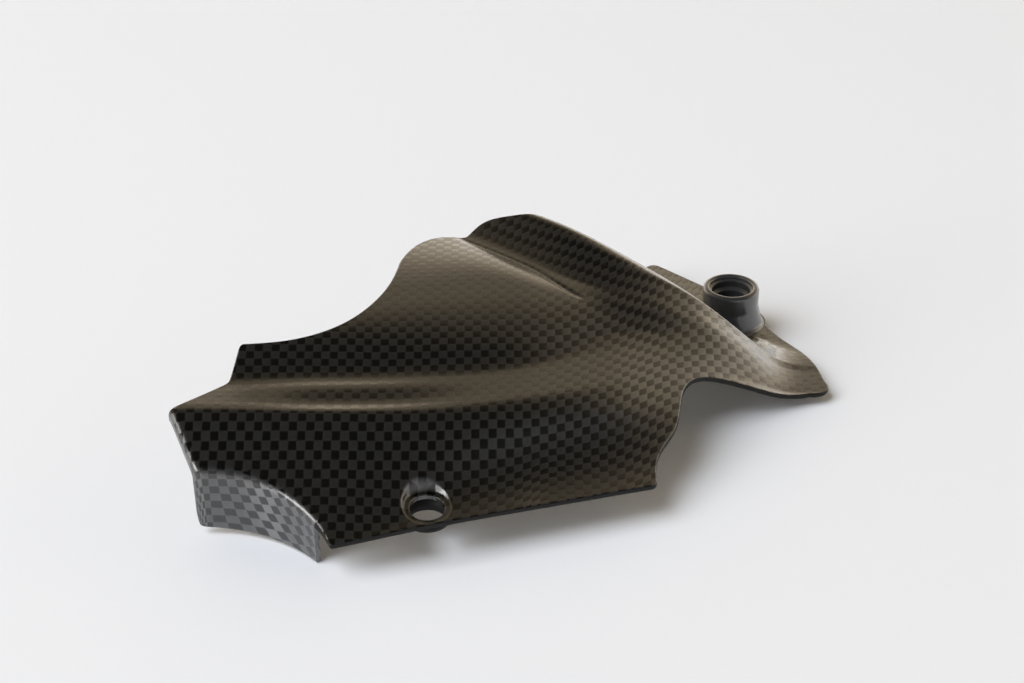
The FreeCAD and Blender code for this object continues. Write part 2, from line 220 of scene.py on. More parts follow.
stationX = np.array(shell["stations"], float)
net = np.array([sectionPoles(x) for x in stationX])
polesAlong, polesAcross = net.shape[:2]


def splineBasis(params, count):
    # Weights of a clamped cubic spline's poles, and of its slope, at each parameter
    knots = np.concatenate(([0.0] * 3, np.linspace(0, 1, count - 2), [1.0] * 3))
    t = np.clip(params, 0, 1 - 1e-9)[:, None]
    weights = ((knots[:-1] <= t) & (t < knots[1:])).astype(float)
    for degree in (1, 2, 3):
        i = np.arange(len(knots) - 1 - degree)
        left = knots[i + degree] - knots[i]
        right = knots[i + degree + 1] - knots[i + 1]
        lower = weights[:, :-1] / np.where(left > 0, left, np.inf)
        upper = weights[:, 1:] / np.where(right > 0, right, np.inf)
        slopes = degree * (lower - upper)
        weights = (t - knots[i]) * lower + (knots[i + degree + 1] - t) * upper
    return weights, slopes


tableU = np.linspace(0, 1, 4001)
tableX = splineBasis(tableU, polesAlong)[0] @ stationX
tableV = np.linspace(0, 1, 601)
tableWeights = splineBasis(tableV, polesAcross)[0]


def acrossParameter(x, y):
    # Skin parameter across the sheet for each plan point
    sections = splineBasis(np.interp(x, tableX, tableU), polesAlong)[0] @ net[:, :, 0]
    table = sections @ tableWeights.T
    i = np.clip((table < y[:, None]).sum(1) - 1, 0, len(tableV) - 2)
    rows = np.arange(len(x))
    low, high = table[rows, i], table[rows, i + 1]
    v = tableV[i] + (y - low) / (high - low) * (tableV[1] - tableV[0])
    for _ in range(2):
        weights, slopes = splineBasis(v, polesAcross)
        v = np.clip(v + (y - (sections * weights).sum(1)) / (sections * slopes).sum(1), 0, 1)
    return v


def skinHeight(x, y, v=None):
    # Height of the outer skin and its two slopes at plan points
    u = np.interp(x, tableX, tableU)
    v = acrossParameter(x, y) if v is None else v
    along, alongSlope = splineBasis(u, polesAlong)
    across, acrossSlope = splineBasis(v, polesAcross)
    rows = along @ net.reshape(polesAlong, -1)
    rowSlopes = alongSlope @ net.reshape(polesAlong, -1)
    rows = rows.reshape(len(x), polesAcross, 2)
    rowSlopes = rowSlopes.reshape(len(x), polesAcross, 2)
    point = np.einsum("npk,np->nk", rows, across)
    byV = np.einsum("npk,np->nk", rows, acrossSlope)
    byU = np.einsum("npk,np->nk", rowSlopes, across)
    slopeY = byV[:, 1] / byV[:, 0]
    slopeX = (byU[:, 1] - slopeY * byU[:, 0]) / (alongSlope @ stationX)
    return point[:, 1], slopeX, slopeY


def smoothLess(a, b, blend):
    h = np.clip(0.5 + 0.5 * (b - a) / blend, 0, 1)
    return b + (a - b) * h - blend * h * (1 - h)


def pocketHeight(x, y, extraRadius, seat):
    r = np.hypot(x - pocket["centre"][0], y - pocket["centre"][1]) - pocket["radius"] - extraRadius
    rising = seat + r / math.tan(math.radians(pocket["draft"]))
    return -smoothLess(-rising, np.full_like(r, -seat), pocket["floorBlend"])


# Fine grooves that run along two of the folds: the stretch of x they cover, depth and half width in mm
grooves = [
    {"fold": "valley", "from": -74.0, "to": -39.0, "fade": 5.0, "depth": 0.34, "width": 0.85},
    {"fold": "foot", "from": -20.0, "to": 11.0, "fade": 4.0, "depth": 0.35, "width": 0.80},
]
for groove in grooves:
    groove["x"] = np.linspace(groove["from"], groove["to"], 200)
    groove["y"] = np.array([monotone(folds[groove["fold"]], 1, x) for x in groove["x"]])
    groove["lean"] = np.gradient(groove["y"], groove["x"])


def smoothStep(t):
    t = np.clip(t, 0, 1)
    return t * t * (3 - 2 * t)


def grooveDepth(x, y):
    total = np.zeros_like(x)
    for groove in grooves:
        lean, fade = np.interp(x, groove["x"], groove["lean"]), groove["fade"]
        side = (y - np.interp(x, groove["x"], groove["y"])) / np.hypot(1, lean)
        ends = smoothStep((x - groove["from"]) / fade) * smoothStep((groove["to"] - x) / fade)
        total += groove["depth"] * ends * np.exp(-(side / groove["width"]) ** 2)
    return total


def outerAndInner(x, y, v=None):
    # Heights of both skins, the wall's thickness apart, with the grooves in the outer one
    wall = shell["wall"]
    z, slopeX, slopeY = skinHeight(x, y, v)
    inner = z - wall * np.sqrt(1 + slopeX ** 2 + slopeY ** 2)
    small = 0.05  # step for the grooves' slopes
    z = z - grooveDepth(x, y)
    slopeX = slopeX - (grooveDepth(x + small, y) - grooveDepth(x - small, y)) / (2 * small)
    slopeY = slopeY - (grooveDepth(x, y + small) - grooveDepth(x, y - small)) / (2 * small)
    outer = smoothLess(z, pocketHeight(x, y, 0.0, pocket["seat"]), pocket["rimBlend"])
    inner = smoothLess(inner, pocketHeight(x, y, wall, pocket["seat"] - wall), pocket["rimBlend"])
    normals = np.stack((-slopeX, -slopeY, np.ones_like(z)), 1)
    return outer, inner, normals / np.linalg.norm(normals, axis=1)[:, None]


def smoothRun(points, step):
    # Natural cubic curve through points, sampled evenly
    points = np.array(points, float)
    t = np.concatenate(([0], np.cumsum(np.linalg.norm(np.diff(points, axis=0), axis=1))))
    h = np.diff(t)
    count = len(points)
    system = np.eye(count)
    right = np.zeros_like(points)
    for i in range(1, count - 1):
        system[i, i - 1:i + 2] = h[i - 1], 2 * (h[i - 1] + h[i]), h[i]
        right[i] = 6 * ((points[i + 1] - points[i]) / h[i] - (points[i] - points[i - 1]) / h[i - 1])
    bends = np.linalg.solve(system, right)
    s = np.linspace(0, t[-1], max(int(t[-1] / step), 2) + 1)
    i = np.clip(np.searchsorted(t, s, side="right") - 1, 0, count - 2)
    a, b, w = (t[i + 1] - s)[:, None], (s - t[i])[:, None], h[i][:, None]
    return ((bends[i] * a ** 3 + bends[i + 1] * b ** 3) / (6 * w)
            + (points[i] / w - bends[i] * w / 6) * a + (points[i + 1] / w - bends[i + 1] * w / 6) * b)


def arcRun(points, step):
    a, m, b = (np.array(p, float) for p in points)
    system = 2 * np.array([m - a, b - a])
    centre = np.linalg.solve(system, [m @ m - a @ a, b @ b - a @ a])
    radius = np.linalg.norm(a - centre)
    start, middle, end = (math.atan2(*(p - centre)[::-1]) for p in (a, m, b))
    sweep = (end - start) % math.tau
    if (middle - start) % math.tau > sweep:
        sweep -= math.tau
    angles = start + np.linspace(0, sweep, max(int(abs(sweep) * radius / step), 2) + 1)
    return centre + radius * np.stack((np.cos(angles), np.sin(angles)), 1)


def lineRun(points, step):
    a, b = (np.array(p, float) for p in points)
    return a + np.linspace(0, 1, max(int(np.linalg.norm(b - a) / step), 2) + 1)[:, None] * (b - a)


def pathOf(stretches, step):
    # One plan path through the stretches, with their end corners rounded
    runs = {"line": lineRun, "arc": arcRun, "curve": smoothRun, "run": lambda points, _: np.array(points)}
    path = None
    reach = 0.0
    for kind, points, corner in stretches:
        run = runs[kind](points, step)
        if path is None:
            path = run
        elif reach:
            tip = run[0]
            before = path[np.linalg.norm(path - tip, axis=1) > reach]
            after = run[np.linalg.norm(run - tip, axis=1) > reach]
            t = np.linspace(0, 1, 9)[1:-1, None]
            turn = (1 - t) ** 2 * before[-1] + 2 * t * (1 - t) * tip + t * t * after[0]
            path = np.concatenate((before, turn, after))
        else:
            path = np.concatenate((path, run[1:]))
        reach = corner
    return path


def lengthAlong(path):
    return np.concatenate(([0], np.cumsum(np.linalg.norm(np.diff(path, axis=0), axis=1))))


def outward(path):
    # Unit plan directions that point away from a clockwise path's inside
    run = np.gradient(path, axis=0)
    sides = np.stack((-run[:, 1], run[:, 0]), 1)
    return sides / np.linalg.norm(sides, axis=1)[:, None]


def conicBend(start, corner, end, count):
    # Round bend from start to end whose sides aim at the corner
    legA, legB = corner - start, end - corner
    cosine = (legA * legB).sum(1) / (np.linalg.norm(legA, axis=1) * np.linalg.norm(legB, axis=1))
    weight = np.sqrt(np.clip((1 + cosine) / 2, 0.05, 1))[:, None]
    rows = []
    for t in np.linspace(0, 1, count + 1):
        a, b, c = (1 - t) ** 2, 2 * t * (1 - t) * weight, t * t
        rows.append((a * start + b * corner + c * end) / (a + b + c))
    return rows


def withHeight(plan, z):
    return np.column_stack((plan, z))


def cutAt(path, length):
    # Splits a path at a distance along it
    travelled = lengthAlong(path)
    i = int(np.searchsorted(travelled, length))
    share = (length - travelled[i - 1]) / (travelled[i] - travelled[i - 1])
    point = path[i - 1] + share * (path[i] - path[i - 1])
    return np.concatenate((path[:i], [point])), np.concatenate(([point], path[i:]))


edgeStep = 0.55
sideStep = 0.3
rounding, reach, wall = shell["edgeRound"], shell["bendReach"], shell["wall"]
wallSide, wallCorner = cutAt(arcRun(sideArc, sideStep), shell["wallSetback"])
plainPath = pathOf(outline + [("run", wallSide, 0.0)], edgeStep)
turnedPath = pathOf([("run", wallCorner, shell["wallCorner"]), ("line", sideEdge, 0.0)], sideStep)
plainSides, turnedSides = outward(plainPath), outward(turnedPath)
plainSides[-1] = turnedSides[0]

# The edge's rounding widens to the bend of the turned-down side just before that side begins
toWall = lengthAlong(plainPath)[-1] - lengthAlong(plainPath)
widen = smoothStep(1 - toWall / shell["wallSetback"])
plainReach = rounding + (reach - rounding) * widen
plainInset = plainPath - plainReach[:, None] * plainSides
turnedInset = turnedPath - reach * turnedSides


def crossing(pointA, sideA, pointB, sideB):
    # Plan point on two lines that are given by a point and the direction across the line
    return np.linalg.solve(np.array([sideA, sideB]), [pointA @ sideA, pointB @ sideB])


def pastCorners(inset, sides, first, last):
    # Says which points of an inset path to keep: those that don't run past its two ends
    run = np.stack((sides[:, 1], -sides[:, 0]), 1)
    near = 3.0
    gap = edgeStep / 4
    keep = (np.linalg.norm(inset - first, axis=1) > near) | ((inset - first) @ run[0] > gap)
    keep &= (np.linalg.norm(inset - last, axis=1) > near) | ((last - inset) @ run[-1] > gap)
    keep[[0, -1]] = True
    return keep


topCorner = crossing(plainInset[0], plainSides[0], turnedInset[-1], turnedSides[-1])
wallStart = turnedInset[0].copy()
keep = pastCorners(plainInset, plainSides, topCorner, wallStart)
plainInset, plainSides, plainReach = plainInset[keep], plainSides[keep], plainReach[keep]
plainInset[0], plainInset[-1] = topCorner, wallStart
keep = pastCorners(turnedInset, turnedSides, wallStart, topCorner)
turnedInset, turnedSides = turnedInset[keep], turnedSides[keep]
turnedInset[-1] = topCorner
plainRim = plainInset + plainReach[:, None] * plainSides
turnedRim = turnedInset + reach * turnedSides
sheetEdge = np.concatenate((plainInset, turnedInset[1:-1]))

# Skin points: a grid in the skin's own parameters, kept clear of the edge and the two screw holes
gridX = np.arange(tableX[0] + 1, tableX[-1] - 1, shell["cellAlong"])
acrossCells = (polesAcross - 3) * shell["cellsAcross"]


def toCells(plan):
    v = acrossParameter(plan[:, 0], plan[:, 1])
    return np.column_stack(((plan[:, 0] - gridX[0]) / shell["cellAlong"], v * acrossCells))


def inside(points, loop):
    result = np.zeros(len(points), bool)
    for a, b in zip(loop, np.roll(loop, -1, axis=0)):
        straddles = (a[1] > points[:, 1]) != (b[1] > points[:, 1])
        with np.errstate(divide="ignore", invalid="ignore"):
            cut = (b[0] - a[0]) * (points[:, 1] - a[1]) / (b[1] - a[1]) + a[0]
        result ^= straddles & (points[:, 0] < cut)
    return result


def ring(centre, radius, count):
    angles = np.arange(count) * math.tau / count
    return np.array(centre) + radius * np.stack((np.cos(angles), np.sin(angles)), 1)


bossHole = ring((0, 0), rearHole["radius"], rearHole["segments"])
boreHole = ring(pocket["centre"], pocket["bore"] + pocket["boreRound"], pocket["segments"])
cellI, cellJ = np.meshgrid(np.arange(len(gridX)), np.arange(1, acrossCells), indexing="ij")
gridCells = np.column_stack((cellI.ravel(), cellJ.ravel())).astype(float)
edgeCells = toCells(sheetEdge)
gridCells = gridCells[inside(gridCells, edgeCells)]
gridPlanX = gridX[gridCells[:, 0].astype(int)]
sections = splineBasis(np.interp(gridPlanX, tableX, tableU), polesAlong)[0] @ net[:, :, 0]
gridPlanY = (sections * splineBasis(gridCells[:, 1] / acrossCells, polesAcross)[0]).sum(1)
gridPlan = np.column_stack((gridPlanX, gridPlanY))


def farFrom(points, others, distance):
    tree = kdtree.KDTree(len(others))
    for i, p in enumerate(others):
        tree.insert((p[0], p[1], 0), i)
    tree.balance()
    return np.array([tree.find((p[0], p[1], 0))[2] > distance for p in points])


keep = farFrom(gridCells, edgeCells, shell["cellGap"])
keep &= np.linalg.norm(gridPlan - np.array(pocket["centre"]), axis=1) > pocket["reach"] + pocket["gridGap"]
keep &= np.linalg.norm(gridPlan, axis=1) > rearHole["keepOut"]
gridPlan = gridPlan[keep]

plan = [sheetEdge, bossHole, boreHole, gridPlan]
edges = []
starts = np.cumsum([0] + [len(p) for p in plan])
for start, count in zip(starts[:3], (len(sheetEdge), len(bossHole), len(boreHole))):
    edges += [(start + i, start + (i + 1) % count) for i in range(count)]
total = starts[-1]
radius = pocket["bore"] + pocket["boreRound"] + pocket["ringStep"]
while radius < pocket["reach"]:
    circle = ring(pocket["centre"], radius, pocket["segments"])
    good = inside(circle, sheetEdge) & farFrom(circle, sheetEdge, pocket["edgeGap"])
    index = np.cumsum(good) - 1 + total
    for i in range(len(circle)):
        after = (i + 1) % len(circle)
        if good[i] and good[after]:
            edges.append((int(index[i]), int(index[after])))
    plan.append(circle[good])
    total += int(good.sum())
    radius += pocket["ringStep"] * (1 if radius < pocket["fineReach"] else pocket["coarser"])
plan = np.concatenate(plan)
cells = toCells(plan)
result = delaunay_2d_cdt([tuple(c) for c in cells], edges, [], 0, 1e-7)
assert len(result[0]) == len(plan), "the skin's points have to stay apart"
order = np.array([origin[0] for origin in result[3]])
triangles = order[np.array(result[2])]
centres = cells[triangles].mean(1)
good = inside(centres, edgeCells)
for hole in (bossHole, boreHole):
    good &= ~inside(centres, toCells(hole))
triangles = triangles[good]
corners = cells[triangles]
area = np.cross(corners[:, 1] - corners[:, 0], corners[:, 2] - corners[:, 0])
triangles = np.where((area < 0)[:, None], triangles[:, ::-1], triangles)
outerZ, innerZ, skinNormals = outerAndInner(plan[:, 0], plan[:, 1])
print("skin:", len(plan), "points,", len(triangles), "triangles")

# Cloth coordinates in mm: columns lie across the part, and spread down the slope behind the crest;
# rows follow the front crease
clothX, clothY = np.arange(-147, 29, 1.0), np.arange(-128, 46, 1.0)
gridA, gridB = np.meshgrid(clothX, clothY, indexing="ij")
crestFade = 4.0
inRange = np.clip(gridB.ravel(), net[:, 0, 0].max() + 0.1, net[:, -1, 0].min() - 0.1)
_, slopeX, slopeY = skinHeight(np.clip(gridA.ravel(), tableX[0] + 0.5, tableX[-1] - 0.5), inRange)
crestY = np.array([monotone(folds["crest"], 1, x) for x in clothX])
pastCrest = np.clip((gridB - crestY[:, None]) / crestFade, 0, 1)
clothU = gridA + np.cumsum(pastCrest * (np.sqrt(1 + slopeX ** 2) - 1).reshape(gridA.shape), axis=0)
clothV = np.cumsum(np.sqrt(1 + slopeY ** 2).reshape(gridA.shape), axis=1)
creaseY = np.array([monotone(folds["crease"], 1, x) for x in clothX])
clothV = clothV - np.array([np.interp(y, clothY, row) for y, row in zip(creaseY, clothV)])[:, None]


def clothAt(points):
    a = np.clip(points[:, 0] - clothX[0], 0, len(clothX) - 1.001)
    b = np.clip(points[:, 1] - clothY[0], 0, len(clothY) - 1.001)
    i, j = a.astype(int), b.astype(int)
    s, t = a - i, b - j
    result = []
    for table in (clothU, clothV):
        result.append(table[i, j] * (1 - s) * (1 - t) + table[i + 1, j] * s * (1 - t)
                      + table[i, j + 1] * (1 - s) * t + table[i + 1, j + 1] * s * t)
    return np.stack(result, 1)


points = [withHeight(plan, outerZ), withHeight(plan, innerZ)]
cloth = [clothAt(plan)] * 2
faces = [tuple(t) for t in triangles]
faces += [tuple(t[::-1] + len(plan)) for t in triangles]
pointCount = 2 * len(plan)


def addRows(rows, clothBase, directions):
    # Adds rows of points and gives their numbers; the cloth runs on in the given plan directions
    global pointCount
    numbers = []
    length = np.zeros(len(rows[0]))
    for before, row in zip([rows[0]] + rows, rows):
        length = length + np.linalg.norm(row - before, axis=1)
        points.append(row)
        cloth.append(clothBase + length[:, None] * directions)
        numbers.append(np.arange(pointCount, pointCount + len(row)))
        pointCount += len(row)
    return numbers


def stitch(rowA, rowB, closed=False):
    last = len(rowA) if closed else len(rowA) - 1
    for i in range(last):
        j = (i + 1) % len(rowA)
        faces.append((int(rowA[i]), int(rowA[j]), int(rowB[j]), int(rowB[i])))


def stitchAll(rows, closed=False):
    for a, b in zip(rows, rows[1:]):
        stitch(a, b, closed)


def drop(pointsAbove, distance):
    return pointsAbove - np.array([0, 0, 1.0]) * np.reshape(distance, (-1, 1))


# Plain cut edge: rounded at both skins
edgeNumbers = np.arange(len(sheetEdge))
plainNumbers = edgeNumbers[:len(plainInset)]
rimOuter, rimInner, _ = outerAndInner(plainRim[:, 0], plainRim[:, 1])
skinOuter, skinInner = points[0][plainNumbers], points[1][plainNumbers]
cornerOuter, cornerInner = withHeight(plainRim, rimOuter), withHeight(plainRim, rimInner)
lowRound = np.minimum(rounding, (rimOuter - rimInner - plainReach) * 0.8)
edgeOuter, edgeInner = drop(cornerOuter, plainReach), drop(cornerInner, -lowRound)
skinFoot = cornerInner + (skinInner - cornerInner) * (rounding / plainReach)[:, None]
rows = conicBend(skinOuter, cornerOuter, edgeOuter, 4)
rows += conicBend(edgeInner, cornerInner, skinFoot, 4) + [skinInner]
plainRows = addRows(rows[1:-1], clothAt(plainInset), plainSides)
plainRows = [plainNumbers] + plainRows + [plainNumbers + len(plan)]

# Turned-down side: a bend, a wall nearly to the bench along the round cut-out and a short lip beside it
turnedNumbers = np.concatenate(([len(plainInset) - 1], edgeNumbers[len(plainInset):], [0]))
rimOuter, rimInner, _ = outerAndInner(turnedRim[:, 0], turnedRim[:, 1])
innerRim = turnedRim - wall * turnedSides
_, innerRimZ, _ = outerAndInner(innerRim[:, 0], innerRim[:, 1])
skinOuter, skinInner = points[0][turnedNumbers], points[1][turnedNumbers]
cornerOuter, cornerInner = withHeight(turnedRim, rimOuter), withHeight(innerRim, innerRimZ)
travelled = lengthAlong(turnedRim)
cornerAt = travelled[np.linalg.norm(turnedRim - np.array(sideEdge[0]), axis=1).argmin()]
wallFront, wallBack = sideArc[0][0], sideEdge[0][0]
wallBottom = shell["wallRise"] * np.clip((wallFront - turnedRim[:, 0]) / (wallFront - wallBack), 0, 1)
roundUp = np.clip((travelled - cornerAt) / shell["cornerRound"], 0, 1)
lipBottom = rimOuter - shell["lipDepth"]
bottom = wallBottom + (lipBottom - wallBottom) * (1 - np.sqrt(1 - roundUp ** 2))
innerReach = np.maximum(np.linalg.norm(cornerInner - skinInner, axis=1), 0.15)
rows = conicBend(skinOuter, cornerOuter, drop(cornerOuter, reach), 8)
foot = withHeight(turnedRim, bottom + rounding)
rows += [rows[-1] + (foot - rows[-1]) * t for t in np.linspace(0, 1, 9)[1:]]
innerFoot = withHeight(innerRim, bottom + rounding)
lowOuter, lowInner = turnedRim - rounding * turnedSides, innerRim + rounding * turnedSides
rows += conicBend(foot, withHeight(turnedRim, bottom), withHeight(lowOuter, bottom), 4)[1:]
rows += conicBend(withHeight(lowInner, bottom), withHeight(innerRim, bottom), innerFoot, 4)
innerTop = drop(cornerInner, innerReach)
rows += [innerFoot + (innerTop - innerFoot) * t for t in np.linspace(0, 1, 9)[1:]]
rows += conicBend(innerTop, cornerInner, skinInner, 7)[1:]
turnedRows = addRows(rows[1:-1], clothAt(turnedInset), turnedSides)
turnedRows = [turnedNumbers] + turnedRows + [turnedNumbers + len(plan)]

# The plain edge's bend and the side's are one where the wall begins: 4 rows of it meet 8 of the side
for row in range(1, 5):
    plainRows[row][-1] = turnedRows[2 * row][0]
stitchAll(plainRows[:3])
firstCut = len(faces)
stitchAll(plainRows[2:])
cutFaces = range(firstCut, len(faces))
stitchAll(turnedRows)
wallColumn = [int(row[0]) for row in turnedRows]
plainColumn = [int(row[-1]) for row in plainRows]
for k in range(0, 8, 2):
    faces.append((wallColumn[k + 2], wallColumn[k + 1], wallColumn[k]))
flatFaces = [tuple(wallColumn[:7:-1] + plainColumn[5:-1])]

# Cut end of the lip at the top of the side edge
lipColumn = [int(row[-1]) for row in turnedRows]
half = len(lipColumn) // 2
for k in range(half):
    quad = list(dict.fromkeys([lipColumn[k], lipColumn[k + 1], lipColumn[-k - 2], lipColumn[-k - 1]]))
    if len(quad) > 2:
        flatFaces.append(tuple(quad))
flatFaces.append(tuple(int(row[0]) for row in plainRows[::-1]))

# Screw holes: the boss covers the rear one, and the front one has a rounded edge
bossNumbers = np.arange(starts[1], starts[2])
stitch(bossNumbers + len(plan), bossNumbers, True)
boreNumbers = np.arange(starts[2], starts[3])
boreRim = ring(pocket["centre"], pocket["bore"], pocket["segments"])
boreTop, boreBottom = points[0][boreNumbers], points[1][boreNumbers]
topCorners = withHeight(boreRim, boreTop[:, 2])
bottomCorners = withHeight(boreRim, boreBottom[:, 2])
boreRound = pocket["boreRound"]
rows = conicBend(boreTop, topCorners, drop(topCorners, boreRound), 4)
rows += conicBend(drop(bottomCorners, -boreRound), bottomCorners, boreBottom, 4)
boreRows = addRows(rows[1:-1], clothAt(boreHole), np.zeros_like(boreHole))
boreRows = [boreNumbers] + boreRows + [boreNumbers + len(plan)]
stitchAll([row[::-1] for row in boreRows], True)

points = np.concatenate(points)
cloth = np.concatenate(cloth)
allFaces = faces + flatFaces

# Smooth normals from the faces, and the skin's exact ones away from the pocket
normals = np.zeros_like(points)
for size in (3, 4):
    group = np.array([f for f in faces if len(f) == size])
    corner = points[group]
    if size == 3:
        across = np.cross(corner[:, 1] - corner[:, 0], corner[:, 2] - corner[:, 0])
    else:
        across = np.cross(corner[:, 2] - corner[:, 0], corner[:, 3] - corner[:, 1])
    for k in range(size):
        np.add.at(normals, group[:, k], across)
away = np.linalg.norm(plan - np.array(pocket["centre"]), axis=1) > pocket["reach"] - 1
normals[:len(plan)][away] = skinNormals[away]
normals /= np.maximum(np.linalg.norm(normals, axis=1), 1e-12)[:, None]


def plainMesh(name, vertices, meshFaces):
    mesh = bpy.data.meshes.new(name)
    mesh.from_pydata([tuple(v) for v in vertices], [], meshFaces)
    mesh.update()
    return mesh


coverMesh = plainMesh("laminateCover", points * mm, allFaces)
loopVertex = np.empty(len(coverMesh.loops), int)
coverMesh.loops.foreach_get("vertex_index", loopVertex)
uvLayer = coverMesh.uv_layers.new(name="cloth")
uvLayer.data.foreach_set("uv", (cloth[loopVertex] * mm).astype(np.float32).ravel())
loopNormals = normals[loopVertex]
for face in coverMesh.polygons[len(faces):]:
    for i in face.loop_indices:
        loopNormals[i] = face.normal
coverMesh.shade_smooth()
coverMesh.normals_split_custom_set([tuple(n) for n in loopNormals])
cover = bpy.data.objects.new("laminateCover", coverMesh)
bpy.context.scene.collection.objects.link(cover)
checkMesh = bmesh.new()
checkMesh.from_mesh(coverMesh)
openEdges = sum(1 for e in checkMesh.edges if len(e.link_faces) != 2)
print("cover:", len(points), "points,", len(allFaces), "faces, open edges", openEdges,
      "volume mm3", round(checkMesh.calc_volume(signed=True) * 1e9))
checkMesh.free()

# Turned pieces: a profile with rounded corners, swept round an upright axis by Geometry Nodes.
# Each corner is radius, height and how far it is rounded, in mm.
boss = {
    "segments": 128,
    "centre": (0.0, 0.0),
    "corners": [
        (4.0, 0.0, 0.25), (7.0, 0.0, 0.2), (7.0, 2.8, 0.0), (9.5, 2.8, 0.0), (9.5, 3.42, 0.0),
        (8.5, 4.5, 1.8), (7.5, 9.0, 5.0), (7.5, 14.3, 1.0), (5.7, 14.3, 0.7), (5.7, 13.2, 0.2),
        (5.1, 13.0, 0.2), (5.1, 11.2, 0.2), (4.0, 10.8, 0.25),
    ],
}
sleeve = {
    "segments": 112,
    "centre": pocket["centre"],
    "corners": [(4.0, 8.2, 0.25), (5.3, 8.2, 0.5), (5.3, 9.6, 0.0), (4.7, 9.8, 0.0), (4.7, 11.0, 0.0),
                (4.02, 11.0, 0.0)],
}


def turnedTree():
    tree = bpy.data.node_groups.new("turnedRing", "GeometryNodeTree")
    face = tree.interface
    face.new_socket("Geometry", in_out="INPUT", socket_type="NodeSocketGeometry")
    face.new_socket("Segments", in_out="INPUT", socket_type="NodeSocketInt")
    face.new_socket("Path Radius", in_out="INPUT", socket_type="NodeSocketFloat")
    face.new_socket("Material", in_out="INPUT", socket_type="NodeSocketMaterial")
    face.new_socket("Geometry", in_out="OUTPUT", socket_type="NodeSocketGeometry")
    given = addNode(tree, "NodeGroupInput")
    profile = addNode(tree, "GeometryNodeMeshToCurve", {"Mesh": given.outputs["Geometry"]})
    size = addNode(tree, "GeometryNodeInputNamedAttribute", {"Name": "rounding"}, data_type="FLOAT")
    rounded = addNode(tree, "GeometryNodeFilletCurve", {
        "Curve": profile.outputs[0], "Radius": size.outputs[0], "Count": 5, "Limit Radius": True},
        mode="POLY")
    circle = addNode(tree, "GeometryNodeCurvePrimitiveCircle", {
        "Resolution": given.outputs["Segments"], "Radius": given.outputs["Path Radius"]})
    swept = addNode(tree, "GeometryNodeCurveToMesh", {
        "Curve": circle.outputs[0], "Profile Curve": rounded.outputs[0]})
    smooth = addNode(tree, "GeometryNodeSetShadeSmooth", {"Geometry": swept.outputs[0]})
    real = addNode(tree, "GeometryNodeRealizeInstances", {"Geometry": smooth.outputs[0]})
    painted = addNode(tree, "GeometryNodeSetMaterial", {
        "Geometry": real.outputs[0], "Material": given.outputs["Material"]})
    addNode(tree, "NodeGroupOutput", {"Geometry": painted.outputs[0]})
    return tree


ringTree = turnedTree()


def turnedPiece(name, spec, material):
    pathRadius = 1.0
    corners = np.array(spec["corners"])
    profile = [((r - pathRadius) * mm, -z * mm, 0) for r, z, _ in corners]
    mesh = bpy.data.meshes.new(name + "Profile")
    mesh.from_pydata(profile, [(i, (i + 1) % len(profile)) for i in range(len(profile))], [])
    mesh.attributes.new("rounding", "FLOAT", "POINT").data.foreach_set("value", corners[:, 2] * mm)
    holder = bpy.data.objects.new(name + "Profile", mesh)
    bpy.context.scene.collection.objects.link(holder)
    modifier = holder.modifiers.new("turned", "NODES")
    modifier.node_group = ringTree
    sockets = {s.name: s.identifier for s in ringTree.interface.items_tree if s.in_out == "INPUT"}
    modifier[sockets["Segments"]] = spec["segments"]
    modifier[sockets["Path Radius"]] = pathRadius * mm
    modifier[sockets["Material"]] = material
    graph = bpy.context.evaluated_depsgraph_get()
    finished = bpy.data.meshes.new_from_object(holder.evaluated_get(graph))
    bpy.data.objects.remove(holder)
    finished.name = name
    work = bmesh.new()
    work.from_mesh(finished)
    bmesh.ops.remove_doubles(work, verts=work.verts, dist=1e-6)
    bmesh.ops.translate(work, verts=work.verts, vec=(spec["centre"][0] * mm, spec["centre"][1] * mm, 0))
    bmesh.ops.recalc_face_normals(work, faces=work.faces)
    openEdges = sum(1 for e in work.edges if len(e.link_faces) != 2)
    lows = [min(v.co[k] for v in work.verts) / mm for k in range(3)]
    highs = [max(v.co[k] for v in work.verts) / mm for k in range(3)]
    print(name, "open edges", openEdges, "from", [round(c, 2) for c in lows],
          "to", [round(c, 2) for c in highs], "volume mm3", round(work.calc_volume(signed=True) * 1e9))
    work.to_mesh(finished)
    work.free()
    piece = bpy.data.objects.new(name, finished)
    bpy.context.scene.collection.objects.link(piece)
    return piece


# Carbon-fibre laminate: plain cloth with 2 mm tows under a smooth clear coat.
# Each tow shines only across its fibres, so the weave is a strong checker on the steep front and a weaker
# one on the top, and the coat adds a soft gloss that takes the colour of the room.
laminate = {
    "tow": 2.0,
    "weft": "#767676",
    "warp": "#464646",
    "weftRoughness": 0.42,
    "warpRoughness": 0.25,
    "fibreStretch": 0.90,
    "crown": 0.03,
    "steepness": 1.5,
    "crossShare": 0.14,
    "blur": 0.28,
    "coatRoughness": 0.12,
}


